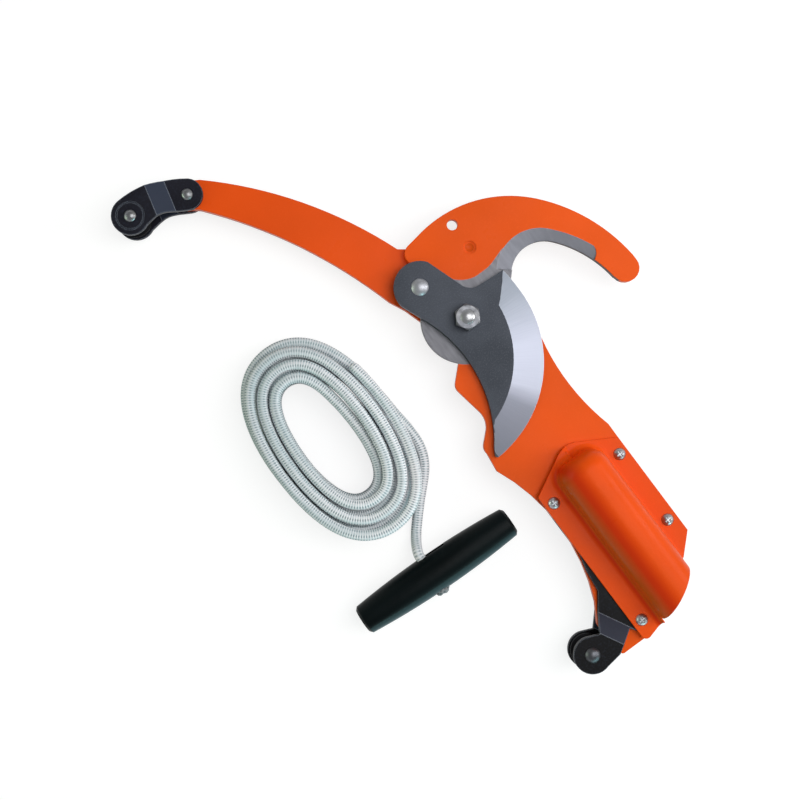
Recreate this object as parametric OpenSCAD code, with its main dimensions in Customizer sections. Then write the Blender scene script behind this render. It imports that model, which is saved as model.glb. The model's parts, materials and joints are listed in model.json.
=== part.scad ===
// Head of a rope operated pole pruner: hooked plate, curved blade, lever arm, pulleys, coiled rope and handle.
// Millimetres. The origin is on the pole's axis at the socket's mouth, +Y runs up to the hook, +Z to the front.

/* [Socket] */
// Inner radius of the socket, for a 25 mm pole
socket_r = 12.6; // [12:0.1:14]
// Sheet thickness of the socket cover
cover_t = 1.5; // [1.2:0.1:2]
// Height of the dome's centre above the mouth
dome_y = 75; // [72:0.5:78]
// Half width of the cover's flanges
flange_half_w = 28; // [27:0.5:30]
// Slant of the mouth
mouth_slant = 27.5; // [25:0.5:30]
// Rounding of the peak at the top of the cover
peak_r = 14; // [10:0.5:18]
// Fillet at the foot of the cover's bump
bump_fillet = 4; // [2:0.1:4.5]

/* [Plate] */
// Thickness of the main plate
plate_t = 4; // [3:0.5:6]
// Height of the pivot above the mouth
pivot_y = 185; // [180:1:200]
// Radius of the hanging hole in the hook
hang_r = 3; // [2:0.1:4]
// Depth of the ground bevel inside the hook
hook_bevel_d = 2; // [1:0.1:2.5]

/* [Lever] */
// Thickness of the blade
blade_t = 4; // [3:0.5:5]
// Land left at the cutting edge
edge_land = 0.5; // [0.3:0.1:0.8]
// Thickness of the lever arm
arm_t = 5; // [4:0.5:7]
// Radius of the pivot bolt
bolt_r = 4; // [3:0.5:5]
// Radius of the blade rivet
rivet_r = 3; // [2:0.5:3.5]
// Width across the flats of the pivot nut
nut_af = 13; // [12:1:15]

/* [Pulleys] */
// Width of a pulley
pulley_w = 12; // [10:0.5:13]
// Radius of a pulley
pulley_r = 9.6; // [9:0.1:10]
// Radius of a pulley axle
axle_r = 2.5; // [2:0.1:2.8]
// Thickness of the bracket straps
strap_t = 2.5; // [2:0.1:3]

/* [Rope and handle] */
// Diameter of the rope
rope_d = 6; // [5:0.1:6.2]
// Loops side by side in one layer of the coil
coil_loops = 3; // [2:0.5:3]
// Layers of the coil
coil_layers = 4; // [2:2:4]
// Length of the pull handle
handle_l = 100; // [90:1:120]
// Radius of the handle at its middle
handle_r = 11; // [10:0.1:12]
// Radius of the handle at its ends
handle_end_r = 8.5; // [7.5:0.1:9.5]

/* [Hidden] */
$fn = 64;

// Colours
orange = [0.89, 0.33, 0.13];
coated = [0.29, 0.31, 0.34];
navy = [0.14, 0.14, 0.18];
zinc = [0.70, 0.71, 0.72];
rope_grey = [0.66, 0.70, 0.71];
moulded = [0.07, 0.10, 0.11];

// Clearances
face_gap = 0.1;
pin_gap = 0.02;
run_gap = 0.05;
hole_gap = 0.15;
side_gap = 0.4;
past = 1;

// Levels, counted from the front face of the plate
face = -socket_r;
plate_back = face - plate_t;
blade_z = face + face_gap;
blade_top = blade_z + blade_t;
arm_top = plate_back - face_gap;
arm_z = arm_top - arm_t;
arm_mid = arm_z + arm_t / 2;
plate_mid = face - plate_t / 2;
bush_l = 7;
bolt_head_t = 2.4;
bush_z = arm_z - bush_l;
ground = bush_z - bolt_head_t;

// Socket cover
cover_r = socket_r + cover_t;
peak = [1.5, dome_y + 22.5];
shoulder_y = dome_y + 7;
mouth_drop = 1.8;
kink_x = 17.4;
lip_x = -13.5;
lip_drop = 4.6;
flange_corner_r = 3;
end_y = dome_y + 14;
crown_r = 9;
bore_y = dome_y + 6;
mouth_reach = 60;
jog_x = 1.5;
strip_x = cover_r + 0.6;
screw_r = 2;
screw_head_r = 3.5;
screw_head_h = 2.4;
screw_l = face + cover_t - ground;
screw_nut_af = 7;
screw_nut_h = 3.2;
right_screws = [[23, dome_y - 1], [22.5, 29]];
left_screws = [[-22.6, dome_y - 0.6], [-22.4, -6]];

// Plate and hook, about the pivot
hook_out = [-3.7, -35.6];
hook_out_r = 99.7;
hook_top = [18.6, -16.2];
hook_top_r = 70.1;
hook_in = [12.9, -37.9];
hook_in_r = 67.5;
throat = [50.4, -6.4];
throat_r = 18.5;
hook_tip = [88, -30.7];
hook_tip_r = 7.7;
waist_right = [153.3, -61.8];
waist_right_r = 129;
waist_left = [-138.8, -123.6];
waist_left_r = 111.6;
disc_r = 25;
notch_r = 37;
notch_start = 95;
notch_stop = 224;
hang_at = [25.3, 46.2];
post_at = [25.6, 30.4];
post_r = 2.5;
post_recess_r = 3.5;
post_recess_d = 0.6;
hook_bevel_w = 6.2;
hook_join = 40;
hook_bevel_end = 24;
hook_bevel_start = hook_join + 2;
throat_bevel_start = hook_join - 7;
hook_end_r = hook_bevel_w + 0.4;
throat_bevel_end = 140;
throat_bevel_c = [48.9, -3.8];
throat_bevel_r = 24.2;
throat_bevel_w = 8.4;
bevel_slope = hook_bevel_d / throat_bevel_w;

// Blade, about the pivot
edge_c = [-33.4, -5.3];
edge_r = 66.9;
bevel_c = [-39.6, 1.2];
bevel_r = 58.5;
spine_c = [-91.6, -17.2];
spine_r = 78.5;
horn_a = 12.5;
tip_a = -88;
horn_bevel = [18.9, -5.2];
horn_tilt = 46.2;
bevel_steep = 0.27;
rivet_at = [-10.3, 29];
rivet_end_r = 14.5;
rivet_sleeve_r = 5.4;
rivet_head_r = 4.8;
rivet_head_h = 2.2;
nut_h = 6.5;
bolt_head_r = 13;
bush_r = 9;
bolt_end = 1.4;

// Arm, about the pivot
arm_upper = [[-6.6, 54.1], [-71.6, 151.4]];
arm_upper_r = 246;
arm_lower = [[-81.7, 138.2], [-28, 33.3]];
arm_lower_r = 286.9;
arm_eye_r = 20;
arm_end_r = 8;

// Arm bracket, about the pivot
arm_axle = [-114.6, 156.9];
arm_rivet = [-82.3, 148.6];
arm_rivet_r = 2.4;
arm_rivet_head_r = 3.3;
arm_strap_r = 8.8;
arm_end_bracket_r = 10.6;
arm_bow_c = [14, -45.9];
arm_bow_r = 58.6;
arm_bends = [13.8, 24.2];
axle_head_r = 3.4;
ring_r = 7.3;
ring_d = 0.3;

// Lower bracket, about the origin
low_axle = [-56, -4.6];
low_dir = 28;
low_bends = [12.7, 22.5];
low_end_r = 10.4;
low_axle_head_r = 4.25;

// Return spring
spring_wire = 1.6;
spring_r = 11;
spring_pitch = 2;
spring_from = 200;
spring_sweep = 850.5;
spring_legs = [18, 46];

// Rope coil: a stack of long loops
coil_at = [-100.7, 176];
coil_tilt = 0;
coil_half_w = 37;
coil_half_run = 24.5;
coil_start = 20;
coil_step = rope_d + 0.9;
coil_draw = 1.2;
coil_shift = 0.8;
layer_step = rope_d + 0.5;
rings = 24;

// Handle and the rope's way to it
handle_at = [-97, 81.6];
handle_tilt = -2.6;
handle_z = ground + handle_r;
rope_hole_x = -3;
rope_hole_r = rope_d / 2 + 0.4;
pocket_l = 18;
knot_r = 5;
knot_seat = 4;
tail_z = ground + rope_d / 2;
tail_route = [[-63.2, 180], [-62.5, 167], [-61.5, 154], [-62.5, 142], [-68, 131], [-82, 117], [-94, 104]];

// Points along an arc
function arc(c, r, a0, a1, n = 12) = [for (i = [0:n]) c + r * [cos(a0 + (a1 - a0) * i / n),
    sin(a0 + (a1 - a0) * i / n)]];

// Corner b between a and c, rounded to radius r
function corner(a, b, c, r, n = 6) =
    let (u = (a - b) / norm(a - b), v = (c - b) / norm(c - b), half = acos(u * v) / 2,
        mid = b + (u + v) / norm(u + v) * r / sin(half), p = b + u * r / tan(half) - mid,
        q = b + v * r / tan(half) - mid, a0 = atan2(p[1], p[0]), da = atan2(q[1], q[0]) - a0,
        turn = da > 180 ? da - 360 : da < -180 ? da + 360 : da)
    arc(mid, r, a0, a0 + turn, n);

// Arc of radius r between the two ends, with its centre to the left (1) or right (-1) of the way along it
function bowed(ends, r, side, n) = let (run = ends[1] - ends[0], half = norm(run) / 2,
    c = (ends[0] + ends[1]) / 2 + side * sqrt(r * r - half * half) * [-run[1], run[0]] / norm(run),
    from = ends[0] - c, to = ends[1] - c)
    arc(c, r, atan2(from[1], from[0]), atan2(to[1], to[0]), n);

// Shift plan points from the pivot to the origin
function from_pivot(pts) = [for (p = pts) p + [0, pivot_y]];

// Distance along a ray from the edge's centre to a circle
function ray_to(c, r, a) = let (e = c - edge_c, k = e * [cos(a), sin(a)]) k + sqrt(r * r - e * e + k * k);

// Distance along the same ray to the straight start of the bevel at the horn
function ray_to_horn(a) = let (n = [sin(horn_tilt), -cos(horn_tilt)]) (horn_bevel - edge_c) * n / ([cos(a), sin(a)] * n);

// Inner border of the blade's bevel
function bevel_at(a) = max(ray_to(bevel_c, bevel_r, a), ray_to(spine_c, spine_r, a), ray_to_horn(a));

// Round tube along a route of points, with a frame kept upright
module tube(route, r, sides) {
    last = len(route) - 1;
    pts = [for (i = [0:last]) let (t = route[min(i + 1, last)] - route[max(i - 1, 0)],
        s = cross(t, [0, 0, 1]) / norm(cross(t, [0, 0, 1])), u = cross(s, t) / norm(t))
        for (k = [0:sides - 1]) route[i] + r * (s * cos(360 * (k + 0.5) / sides) + u * sin(360 * (k + 0.5) / sides))];
    side_faces = [for (i = [0:last - 1]) for (k = [0:sides - 1]) let (m = (k + 1) % sides)
        [i * sides + k, i * sides + m, (i + 1) * sides + m, (i + 1) * sides + k]];
    caps = [[for (k = [sides - 1:-1:0]) k], [for (k = [0:sides - 1]) last * sides + k]];
    polyhedron(pts, concat(side_faces, caps), convexity = 8);
}

// Pin with a shank and a domed head at each end
module pin(r, z0, z1, head_r, front_h, rear_h) {
    translate([0, 0, z0]) cylinder(r = r, h = z1 - z0);
    translate([0, 0, z1]) dome(head_r, front_h);
    translate([0, 0, z0 - rear_h]) cylinder(r = head_r, h = rear_h);
}

// Low dome
module dome(r, h) {
    ball = (r * r + h * h) / (2 * h);
    intersection() {
        translate([0, 0, h - ball]) sphere(r = ball);
        cylinder(r = r, h = h);
    }
}

// Hexagonal nut
module hex_nut(af, h, bore) {
    flat = af / 2 - 0.2;
    out = af / sqrt(3) + 0.2;
    drop = (out - flat) * tan(30);
    difference() {
        intersection() {
            cylinder(r = af / sqrt(3), h = h, $fn = 6);
            rotate_extrude() polygon([[0, 0], [flat, 0], [out, drop], [out, h - drop], [flat, h], [0, h]]);
        }
        translate([0, 0, -past]) cylinder(r = bore, h = h + 2 * past);
    }
}

// Grooved pulley on its bore
module pulley() {
    rotate_extrude() difference() {
        translate([axle_r + run_gap, -pulley_w / 2]) square([pulley_r - axle_r - run_gap, pulley_w]);
        translate([pulley_r + 0.5, 0]) circle(r = rope_d / 2 + 0.3);
    }
}

// Height of the slanted mouth line across the socket
function mouth_at(x) = x * tan(mouth_slant) - mouth_drop;

// Outline of the plate and hook
function plate_outline() = concat(
    from_pivot(concat(
        arc(hook_tip, hook_tip_r, 185, 363, 10),
        arc(hook_out, hook_out_r, 5, 41, 14),
        arc(hook_top, hook_top_r, 43, 101, 18),
        corner([5, 52.6], [-9.5, 50.5], [-3.2, 36.9], 6),
        [notch_r * [cos(notch_start), sin(notch_start)]],
        arc([0, 0], disc_r, notch_start, notch_stop, 30),
        corner(disc_r * [cos(notch_stop), sin(notch_stop)], [-28, -27], [-24.4, -50], 5.5),
        corner([-27, -30], [-23.9, -52], [-35, -64], 12),
        corner([-26, -54], [-36, -64], [-34.5, -72], 6))),
    [for (a = [24:-6:-26]) waist_left + waist_left_r * [cos(a), sin(a)] + [0, 185]],
    corner([-39, 12.5], [-43.5, 5], [-42.4, -16.3], 4),
    corner([-43, 0], [-42.4, -16.3], [-26, -16.3], 2),
    [[-26, -16.4], [lip_x, mouth_at(lip_x) - lip_drop], [lip_x, mouth_at(lip_x)], [kink_x, mouth_at(kink_x)],
        [27.5, mouth_at(kink_x) + 27.5 - kink_x]],
    from_pivot(concat(
        arc(waist_right, waist_right_r, 194.5, 162, 12),
        [[32, 1]],
        arc(throat, throat_r, 137, hook_join, 16),
        arc(hook_in, hook_in_r, 38, 6, 12))));

// Ring wedge that grinds a bevel on the front, w wide inside radius r
module bevel_ring(c, r, w, a0, a1) {
    translate([c[0], c[1] + pivot_y, face]) rotate([0, 0, a0]) rotate_extrude(angle = a1 - a0)
        polygon([[r - w - past, -bevel_slope * (w + past)], [r, 0], [r, past], [r - w - past, past]]);
}

// Bevel along the hook's inner edge, with a rounded end towards the tip
module hook_bevel() {
    intersection() {
        bevel_ring(hook_in, hook_in_r + hook_bevel_w, hook_bevel_w, hook_bevel_end - 8, hook_bevel_start);
        translate([hook_in[0], hook_in[1] + pivot_y, face - plate_t]) linear_extrude(2 * plate_t) {
            polygon([[0, 0], each [for (a = [hook_bevel_end, hook_join + 5]) 2 * hook_in_r * [cos(a), sin(a)]]]);
            translate(hook_in_r * [cos(hook_bevel_end), sin(hook_bevel_end)]) circle(r = hook_end_r);
        }
    }
}

module main_plate() {
    color(orange) difference() {
        translate([0, 0, plate_back]) linear_extrude(plate_t) polygon(plate_outline());
        translate([0, pivot_y, plate_back - past]) cylinder(r = bolt_r + run_gap, h = plate_t + 2 * past);
        translate([hang_at[0], hang_at[1] + pivot_y, plate_back - past]) cylinder(r = hang_r, h = plate_t + 2 * past);
        translate([post_at[0], post_at[1] + pivot_y, plate_back - past])
            cylinder(r = post_r + pin_gap, h = plate_t + 2 * past);
        translate([post_at[0], post_at[1] + pivot_y, face - post_recess_d]) cylinder(r = post_recess_r, h = past);
        for (p = concat(right_screws, left_screws))
            translate([p[0], p[1], plate_back - past]) cylinder(r = screw_r + hole_gap, h = plate_t + 2 * past);
        hook_bevel();
        bevel_ring(throat_bevel_c, throat_bevel_r, throat_bevel_w, throat_bevel_start, throat_bevel_end);
    }
}

// Upper outline of the cover, from the right shoulder over the rounded peak to the left one
function cover_top() = concat([[flange_half_w, shoulder_y]],
    corner([flange_half_w, shoulder_y], peak, [-flange_half_w, shoulder_y], peak_r, 12),
    [[-flange_half_w, shoulder_y]]);

// Plan of the flanges: the left one reaches lower beside the bump, the right one ends at half a right angle
function flange_plan() = let (lip = [lip_x, mouth_at(lip_x) - lip_drop],
    low = [-flange_half_w, mouth_at(-flange_half_w) - 1])
    concat([[flange_half_w, mouth_at(kink_x) + flange_half_w - kink_x]], cover_top(),
        corner([-flange_half_w, shoulder_y], low, lip, flange_corner_r),
        [lip, [lip_x, mouth_at(lip_x)], [kink_x, mouth_at(kink_x)]]);

// Section of the flanges: the left one steps up over the bracket's foot
module flange_section() {
    left = face + strap_t;
    polygon([[flange_half_w, face], [flange_half_w, face + cover_t], [jog_x, face + cover_t],
        [-jog_x, left + cover_t], [-flange_half_w, left + cover_t], [-flange_half_w, left], [-jog_x, left],
        [jog_x, face]]);
}

// Side of the bump from its middle out, with a rounded corner at the upper end
module bump_side(r, end, round_r) {
    intersection() {
        translate([0, -mouth_reach]) square([r, end + mouth_reach]);
        union() {
            translate([0, -mouth_reach]) square([r, end - round_r + mouth_reach]);
            translate([0, -mouth_reach]) square([r - round_r, end + mouth_reach]);
            translate([r - round_r, end - round_r]) circle(r = round_r);
        }
    }
}

// Bump: half round above the pole's axis, upright walls below it
module bump(r, base, end, round_r) {
    rotate([-90, 0, 0]) rotate_extrude() bump_side(r, end, round_r);
    translate([0, 0, base]) linear_extrude(-base) {
        bump_side(r, end, round_r);
        mirror([1, 0]) bump_side(r, end, round_r);
    }
}

// Section of the fillet at the bump's foot, with x out from the wall and y up from the flange
module foot() {
    difference() {
        translate([-cover_t / 2, -cover_t / 2]) square(bump_fillet + cover_t / 2);
        translate([bump_fillet, bump_fillet]) circle(r = bump_fillet);
    }
}

// Right half of the fillet: along the wall, round the corner and along the end
module foot_half(base) {
    turn = [cover_r - crown_r, end_y - crown_r];
    translate([cover_r, turn[1], base]) rotate([90, 0, 0]) linear_extrude(turn[1] + mouth_reach) foot();
    translate([turn[0], turn[1], base]) rotate_extrude(angle = 90) translate([crown_r, 0]) foot();
    translate([0, end_y, base]) rotate([90, 0, 90]) linear_extrude(turn[0]) foot();
}

module socket_cover() {
    color(orange) difference() {
        union() {
            intersection() {
                union() {
                    translate([0, peak[1], 0]) rotate([90, 0, 0])
                        linear_extrude(peak[1] + mouth_reach) flange_section();
                    foot_half(face + cover_t);
                    mirror([1, 0, 0]) foot_half(face + strap_t + cover_t);
                }
                translate([0, 0, face - past]) linear_extrude(cover_r) polygon(flange_plan());
            }
            intersection() {
                bump(cover_r, face, end_y, crown_r);
                translate([0, 0, face]) linear_extrude(3 * cover_r) polygon(concat(cover_top(),
                    [for (x = [-flange_half_w, lip_x, kink_x, flange_half_w]) [x, mouth_at(x)]]));
            }
        }
        translate([0, bore_y, 0]) rotate([90, 0, 0]) linear_extrude(bore_y + mouth_reach) {
            circle(r = socket_r);
            translate([-socket_r, face - past]) square([2 * socket_r, past - face]);
        }
        bump(socket_r - cover_t, face - past, end_y - cover_t, crown_r - cover_t);
        for (p = concat(right_screws, left_screws))
            translate([p[0], p[1], face - past]) cylinder(r = screw_r + hole_gap, h = strap_t + cover_t + 2 * past);
    }
}

module cover_screws() {
    color(zinc) {
        for (p = right_screws) translate([p[0], p[1], face + cover_t]) screw();
        for (p = left_screws) translate([p[0], p[1], face + strap_t + cover_t]) screw();
    }
}

// Pan head screw, head above z = 0, with a cross recess
module screw() {
    translate([0, 0, -screw_l]) cylinder(r = screw_r, h = screw_l);
    difference() {
        dome(screw_head_r, screw_head_h);
        for (a = [0, 90]) rotate(a) translate([-1.8, -0.4, screw_head_h - 1.2]) cube([3.6, 0.8, 2]);
    }
}

module cover_nuts() {
    color(zinc) {
        for (p = right_screws) translate([p[0], p[1], plate_back - screw_nut_h])
            hex_nut(screw_nut_af, screw_nut_h, screw_r + pin_gap);
        for (p = left_screws) translate([p[0], p[1], plate_back - strap_t - screw_nut_h])
            hex_nut(screw_nut_af, screw_nut_h, screw_r + pin_gap);
    }
}

// Side view of a cranked strap, with x from the axle and z from the middle of what it clasps
module crank(half, bends) {
    lift = pulley_w / 2 + side_gap;
    rotate([90, 0, 0]) translate([0, 0, -100]) linear_extrude(200) polygon([[-40, lift], [bends[0], lift],
        [bends[1], half], [160, half], [160, half + strap_t], [bends[1], half + strap_t],
        [bends[0], lift + strap_t], [-40, lift + strap_t]]);
}

// Plan of the lower bracket: foot under the cover's flange, strap and round end
module low_plan() {
    polygon([[-strip_x, -9.5], [-strip_x, dome_y + 3], [-27.5, dome_y + 3], [-27.5, 45], [-30.6, 33], [-32, 21],
        [-38.6, 12], [-45.9, 2.3], [-51.1, 4.6], low_axle, [-56, -15], [-43.5, -13.2], [-38.1, -9.9], [-30.5, -6.2],
        [-28, -10], [-23, -12.5]]);
    translate(low_axle) circle(r = low_end_r);
}

// One plate of the lower bracket, above z = 0
module low_bracket() {
    difference() {
        intersection() {
            linear_extrude(40) low_plan();
            translate([low_axle[0], low_axle[1], 0]) rotate(low_dir) crank(plate_t / 2, low_bends);
        }
        translate([low_axle[0], low_axle[1], 0]) cylinder(r = axle_r + pin_gap, h = 40);
        for (p = left_screws) translate([p[0], p[1], 0]) cylinder(r = screw_r + hole_gap, h = 40);
    }
}

module lower_bracket_front() {
    color(navy) translate([0, 0, plate_mid]) low_bracket();
}

module lower_bracket_rear() {
    color(navy) translate([0, 0, plate_mid]) mirror([0, 0, 1]) low_bracket();
}

module lower_pulley_axle() {
    outer = pulley_w / 2 + side_gap + strap_t;
    color(zinc) translate([low_axle[0], low_axle[1], plate_mid]) pin(axle_r, -outer, outer, low_axle_head_r, 2.4, 2);
}

module lower_pulley() {
    color(zinc) translate([low_axle[0], low_axle[1], plate_mid]) pulley();
}

module spring_post() {
    color(zinc) translate([post_at[0], post_at[1] + pivot_y, bush_z - 0.4])
        cylinder(r = post_r, h = face - post_recess_d - bush_z + 0.4);
}

// Coils round the bush, one leg along the arm and one past the post
module return_spring() {
    top = arm_z - 0.35 - spring_wire / 2;
    turns = [for (i = [0:48]) let (a = spring_from + spring_sweep * i / 48)
        [spring_r * cos(a), spring_r * sin(a), top - spring_pitch * spring_sweep / 360 * i / 48]];
    first = spring_legs[0] * [sin(spring_from), -cos(spring_from), 0];
    end_a = spring_from + spring_sweep;
    last = spring_legs[1] * [-sin(end_a), cos(end_a), 0];
    color(zinc) translate([0, pivot_y, 0]) tube(concat([turns[0] + first], turns, [turns[48] + last]), spring_wire / 2, 8);
}

// Outline of the blade, about the pivot
function blade_outline() = concat(
    arc(rivet_at, rivet_end_r, 36, 190, 18),
    arc(spine_c, spine_r, 24, -39, 20),
    corner([-31, -67.5], [-33.6, -71.9], [-28, -72.2], 1.2),
    arc(edge_c, edge_r, -86, horn_a, 36),
    corner([34, 10.3], [11.5, 10.3], [-0.2, 34.2], 9));

// Wedge that grinds the blade's bevel, from its border on the front to the land at the edge
module blade_bevel() {
    steps = 32;
    over = 4;
    pts = [for (i = [0:steps]) let (a = horn_a - 0.4 + (tip_a - horn_a) * i / steps, d = [cos(a), sin(a)],
        b = min(bevel_at(a), edge_r - 0.6), slope = min((blade_t - edge_land) / (edge_r - b), bevel_steep),
        back = past / slope)
        each [[each edge_c + (b - back) * d, blade_top + past], [each edge_c + (edge_r + over) * d, blade_top + past],
            [each edge_c + (edge_r + over) * d, blade_top - slope * (edge_r + over - b)]]];
    faces = concat([[0, 2, 1], [3 * steps, 3 * steps + 1, 3 * steps + 2]],
        [for (i = [0:steps - 1]) for (k = [0:2]) let (m = (k + 1) % 3)
            each [[3 * i + k, 3 * i + m, 3 * i + 3 + m], [3 * i + k, 3 * i + 3 + m, 3 * i + 3 + k]]]);
    polyhedron(pts, faces, convexity = 6);
}

module blade() {
    color(coated) translate([0, pivot_y, 0]) difference() {
        translate([0, 0, blade_z]) linear_extrude(blade_t) polygon(blade_outline());
        blade_bevel();
        translate([0, 0, blade_z - past]) cylinder(r = bolt_r + pin_gap, h = blade_t + 2 * past);
        translate([rivet_at[0], rivet_at[1], blade_z - past]) cylinder(r = rivet_r + pin_gap, h = blade_t + 2 * past);
    }
}

// Outline of the arm, about the pivot
function arm_outline() = concat(
    arc([0, 0], arm_eye_r, 158, 380, 30),
    corner([18, 8], [4, 46], [-6, 54], 8),
    bowed(arm_upper, arm_upper_r, 1, 16),
    arc(arm_rivet, arm_end_r, 65, 245, 12),
    bowed(arm_lower, arm_lower_r, -1, 16),
    [[-23.6, 24]]);

module lever_arm() {
    color(orange) translate([0, pivot_y, 0]) difference() {
        translate([0, 0, arm_z]) linear_extrude(arm_t) polygon(arm_outline());
        translate([0, 0, arm_z - past]) cylinder(r = bolt_r + pin_gap, h = arm_t + 2 * past);
        translate([rivet_at[0], rivet_at[1], arm_z - past]) cylinder(r = rivet_r + pin_gap, h = arm_t + 2 * past);
        translate([arm_rivet[0], arm_rivet[1], arm_z - past]) cylinder(r = arm_rivet_r + pin_gap, h = arm_t + 2 * past);
    }
}

module pivot_bolt() {
    color(zinc) translate([0, pivot_y, ground]) {
        cylinder(r = bolt_head_r, h = bolt_head_t);
        cylinder(r = bolt_r, h = blade_top + nut_h - ground);
        translate([0, 0, blade_top + nut_h - ground]) dome(bolt_r, bolt_end);
    }
}

module pivot_nut() {
    color(zinc) translate([0, pivot_y, blade_top]) hex_nut(nut_af, nut_h, bolt_r + pin_gap);
}

module spring_bush() {
    color(zinc) translate([0, pivot_y, bush_z]) difference() {
        cylinder(r = bush_r, h = bush_l);
        translate([0, 0, -past]) cylinder(r = bolt_r + pin_gap, h = bush_l + 2 * past);
    }
}

module blade_rivet() {
    color(zinc) translate([rivet_at[0], rivet_at[1] + pivot_y, 0])
        pin(rivet_r, arm_z, blade_top, rivet_head_r, rivet_head_h, rivet_head_h);
}

module rivet_spacer() {
    color(zinc) translate([rivet_at[0], rivet_at[1] + pivot_y, arm_top]) difference() {
        cylinder(r = rivet_sleeve_r, h = blade_z - arm_top);
        translate([0, 0, -past]) cylinder(r = rivet_r + pin_gap, h = plate_t + 2 * past);
    }
}

// One plate of the arm bracket, above z = 0 at the arm's middle
module arm_bracket() {
    run = arm_rivet - arm_axle;
    translate([arm_axle[0], arm_axle[1] + pivot_y, 0]) rotate(atan2(run[1], run[0])) difference() {
        intersection() {
            linear_extrude(40) {
                polygon(concat(arc(arm_bow_c, arm_bow_r, 67, 107, 10), arc([0, 0], arm_end_bracket_r, 108, 310, 20),
                    corner([6.8, -8.1], [16.5, -4.3], [30.3, -8.3], 14), [[30.3, -8.3], [norm(run), 0]]));
                translate([norm(run), 0]) circle(r = arm_strap_r);
            }
            crank(arm_t / 2, arm_bends);
        }
        cylinder(r = axle_r + pin_gap, h = 40);
        translate([norm(run), 0, 0]) cylinder(r = arm_rivet_r + pin_gap, h = 40);
        translate([0, 0, pulley_w / 2 + side_gap + strap_t - ring_d]) rotate_extrude()
            translate([ring_r, 0]) square([0.5, past]);
    }
}

module arm_bracket_front() {
    color(navy) translate([0, 0, arm_mid]) arm_bracket();
}

module arm_bracket_rear() {
    color(navy) translate([0, 0, arm_mid]) mirror([0, 0, 1]) arm_bracket();
}

module arm_bracket_rivet() {
    color(zinc) translate([arm_rivet[0], arm_rivet[1] + pivot_y, 0])
        pin(arm_rivet_r, arm_z - strap_t, arm_top + strap_t, arm_rivet_head_r, 1.8, 1.8);
}

module arm_pulley_axle() {
    outer = pulley_w / 2 + side_gap + strap_t;
    color(zinc) translate([arm_axle[0], arm_axle[1] + pivot_y, arm_mid])
        pin(axle_r, -outer, outer, axle_head_r, 1.8, arm_mid - outer - ground);
}

module arm_pulley() {
    color(zinc) translate([arm_axle[0], arm_axle[1] + pivot_y, arm_mid]) pulley();
}

// Point on a long loop, f turns round it: loops further in are narrower, and drawn away from the handle
function loop_at(f, deep) = let (a = coil_start + 360 * f, b = coil_half_w - coil_step * deep,
    h = coil_half_run - coil_draw * deep)
    [b * cos(a), b * sin(a) + h * (1.1 * sin(a) + 0.1 * sin(3 * a)) + coil_shift * deep];

// Plan point turned by the coil's tilt
function turned(p) = [p[0] * cos(coil_tilt) - p[1] * sin(coil_tilt), p[0] * sin(coil_tilt) + p[1] * cos(coil_tilt)];

// Point of the coil after t loops: it spirals in, climbs a layer in half a turn, and spirals out again
function coil_at_t(t) = let (n = coil_loops, k = floor(t / n), w = t - k * n, deep = k % 2 == 0 ? w : n - w,
    near = round(t / n), climb = 0.5 * sin(90 * max(-1, min(1, 4 * (t - near * n)))),
    lift = near > 0 && near < coil_layers ? near - 0.5 + climb : min(k, coil_layers - 1))
    [each coil_at + turned(loop_at(t, deep)), tail_z + layer_step * lift];

coil_turns = [for (i = [0:rings * coil_loops * coil_layers]) coil_at_t(i / rings)];
coil_last = len(coil_turns) - 1;

// Route carried on straight past its end point a, by one rope's width
function carried_on(a, b) = [a + (a - b) / norm(a - b) * rope_d];
coil_route = concat(carried_on(coil_turns[0], coil_turns[1]), coil_turns,
    carried_on(coil_turns[coil_last], coil_turns[coil_last - 1]));

// Length of a route
function route_length(p) = let (steps = [for (i = [1:len(p) - 1]) norm(p[i] - p[i - 1])]) steps * [for (s = steps) 1];

// Least gap between points of the coil that are more than half a turn apart
function coil_gap() = min([for (i = [0:len(coil_turns) - 1]) for (k = [i + rings / 2:1:len(coil_turns) - 1])
    norm(coil_turns[i] - coil_turns[k])]) - rope_d;
echo(coil_length = route_length(coil_route), coil_gap = coil_gap());

module rope_coil() {
    color(rope_grey) tube(coil_route, rope_d / 2, 6);
}

// Point in the handle's own frame
function in_handle(x, y) = [handle_at[0] + x * cos(handle_tilt) - y * sin(handle_tilt),
    handle_at[1] + x * sin(handle_tilt) + y * cos(handle_tilt), handle_z];

module rope_tail() {
    route = concat([coil_route[0]], [for (p = tail_route) [p[0], p[1], tail_z]],
        [in_handle(rope_hole_x, handle_r + 3), in_handle(rope_hole_x, handle_r - 3), in_handle(rope_hole_x, -knot_seat)]);
    color(rope_grey) tube(route, rope_d / 2, 8);
}

module rope_knot() {
    color(rope_grey) translate(in_handle(rope_hole_x, -knot_seat)) rotate([90, 0, handle_tilt])
        rotate_extrude() intersection() {
            translate([0, knot_r - 1]) circle(r = knot_r);
            square([knot_r, 2 * knot_r]);
        }
}

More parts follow.
